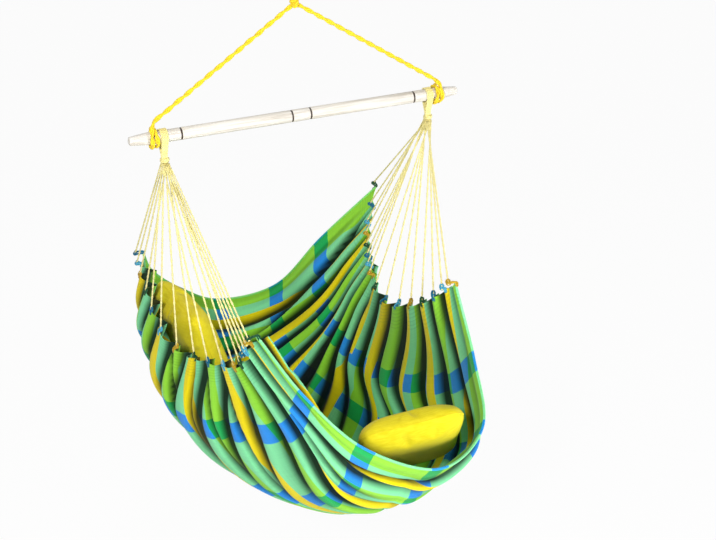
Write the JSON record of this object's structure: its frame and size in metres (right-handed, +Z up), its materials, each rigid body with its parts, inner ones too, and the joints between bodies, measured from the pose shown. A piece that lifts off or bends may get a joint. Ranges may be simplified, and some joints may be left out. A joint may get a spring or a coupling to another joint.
{
  "type": "hammock chair",
  "caption": "Cloth hammock chair hung by two fans of strings from a wooden spreader bar on a rope sling, with two loose cushions.",
  "frame": {"origin": "where a ceiling hook carries the inside top of the suspension rope's eye", "axes": "+X along the spreader bar to the right as seen from the front, -Y towards the front, +Z up"},
  "size_m": [1.1, 1.4598, 1.8403],
  "materials": {
    "rope": "matte",
    "string": "matte",
    "twine": "matte",
    "birch": "satin",
    "seat_fabric": "matte",
    "cushion_fabric": "matte",
    "bag_fabric": "matte",
    "zipper_tape": "satin"
  },
  "bodies": {
    "hook_eye": {"suspension_eye": "rope"},
    "neck": {"neck_whipping": "twine"},
    "knot": {"apex_knot": "rope"},
    "sling": {"leg_rope_left": "rope", "leg_rope_right": "rope", "bar_hitch_left": "rope", "bar_hitch_right": "rope"},
    "bar": {"spreader_bar": "birch"},
    "seat": {"harness_eye_left": "string", "harness_eye_right": "string", "gather_whipping_left": "twine", "gather_whipping_right": "twine", "string_left_01": "string", "string_left_02": "string", "string_left_03": "string", "string_left_04": "string", "string_left_05": "string", "string_left_06": "string", "string_left_07": "string", "string_left_08": "string", "string_left_09": "string", "string_left_10": "string", "string_left_11": "string", "string_left_12": "string", "string_left_13": "string", "string_left_14": "string", "string_left_15": "string", "string_left_16": "string", "string_right_01": "string", "string_right_02": "string", "string_right_03": "string", "string_right_04": "string", "string_right_05": "string", "string_right_06": "string", "string_right_07": "string", "string_right_08": "string", "string_right_09": "string", "string_right_10": "string", "string_right_11": "string", "string_right_12": "string", "string_right_13": "string", "string_right_14": "string", "string_right_15": "string", "string_right_16": "string", "seat_cloth": "seat_fabric"},
    "front_cushion": {"front_cushion_cover": "cushion_fabric", "front_cushion_inner_bag": "bag_fabric", "front_cushion_zipper": "zipper_tape"},
    "back_cushion": {"back_cushion_cover": "cushion_fabric", "back_cushion_inner_bag": "bag_fabric", "back_cushion_zipper": "zipper_tape"}
  },
  "joints": [
    {"name": "rope_turn", "type": "hinge", "parent": "hook_eye", "child": "neck", "pos_m": [0, 0, -0.093], "axis": [0, 0, 1], "range_deg": [-180, 180], "stiffness_Nm_per_rad": 0.1},
    {"name": "swing_fore_aft", "type": "hinge", "parent": "neck", "child": "knot", "pos_m": [0, 0, -0.1233], "axis": [1, 0, 0], "range_deg": [-25, 25]},
    {"name": "sway_sideways", "type": "hinge", "parent": "knot", "child": "sling", "pos_m": [0, 0, -0.1233], "axis": [0, 1, 0], "range_deg": [-15, 15]},
    {"name": "bar_roll", "type": "hinge", "parent": "sling", "child": "bar", "pos_m": [0, 0, -0.4693], "axis": [1, 0, 0], "continuous": true},
    {"name": "seat_tilt", "type": "hinge", "parent": "sling", "child": "seat", "pos_m": [0, 0, -0.4693], "axis": [1, 0, 0], "range_deg": [-20, 20]},
    {"name": "front_cushion_lift", "type": "slide", "parent": "seat", "child": "front_cushion", "axis": [-0.4527, 0.171, 0.8751], "range_m": [0, 0.25]},
    {"name": "back_cushion_lift", "type": "slide", "parent": "seat", "child": "back_cushion", "axis": [0.4501, -0.2001, 0.8703], "range_m": [0, 0.25]}
  ]
}
